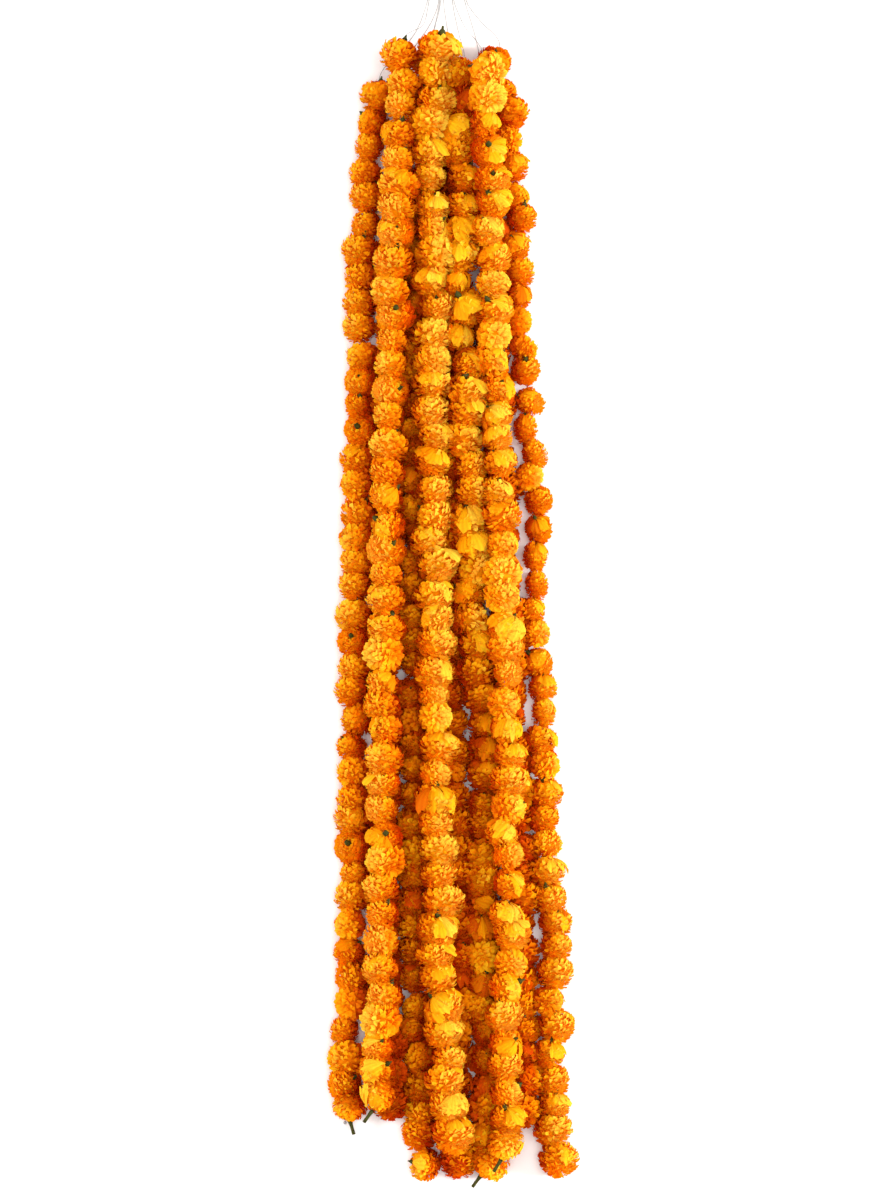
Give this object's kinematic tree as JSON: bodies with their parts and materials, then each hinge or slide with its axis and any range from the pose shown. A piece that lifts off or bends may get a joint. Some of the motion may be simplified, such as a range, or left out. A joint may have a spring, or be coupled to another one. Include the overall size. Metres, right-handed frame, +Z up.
{
  "type": "marigold garland",
  "caption": "Bundle of orange marigold strings on cotton threads, tied together at one end with a knot and a loop, for hanging as a flower decoration; shown laid flat.",
  "frame": {"origin": "on the surface the garland lies on, under the middle of the flowers", "axes": "+Y along the strings towards the knot, +X to the right of it seen from above, +Z up from the surface"},
  "size_m": [0.3195, 1.7322, 0.0979],
  "materials": {
    "petals": "satin",
    "thread": "matte",
    "green_stem": "satin"
  },
  "bodies": {
    "root": {"strand_01_blossoms": "petals", "strand_01_thread": "thread", "strand_01_tail": "thread", "strand_01_end_stem": "green_stem", "strand_02_blossoms": "petals", "strand_02_thread": "thread", "strand_02_tail": "thread", "strand_02_end_stem": "green_stem", "strand_03_blossoms": "petals", "strand_03_thread": "thread", "strand_03_tail": "thread", "strand_04_blossoms": "petals", "strand_04_thread": "thread", "strand_04_tail": "thread", "strand_05_blossoms": "petals", "strand_05_thread": "thread", "strand_05_tail": "thread", "strand_06_blossoms": "petals", "strand_06_thread": "thread", "strand_06_tail": "thread", "strand_07_blossoms": "petals", "strand_07_thread": "thread", "strand_07_tail": "thread", "strand_07_end_stem": "green_stem", "strand_08_blossoms": "petals", "strand_08_thread": "thread", "strand_08_tail": "thread", "strand_08_end_stem": "green_stem", "strand_09_blossoms": "petals", "strand_09_thread": "thread", "strand_09_tail": "thread", "strand_10_blossoms": "petals", "strand_10_thread": "thread", "strand_10_tail": "thread", "tie_knot": "thread", "hanging_loop": "thread"}
  },
  "joints": []
}
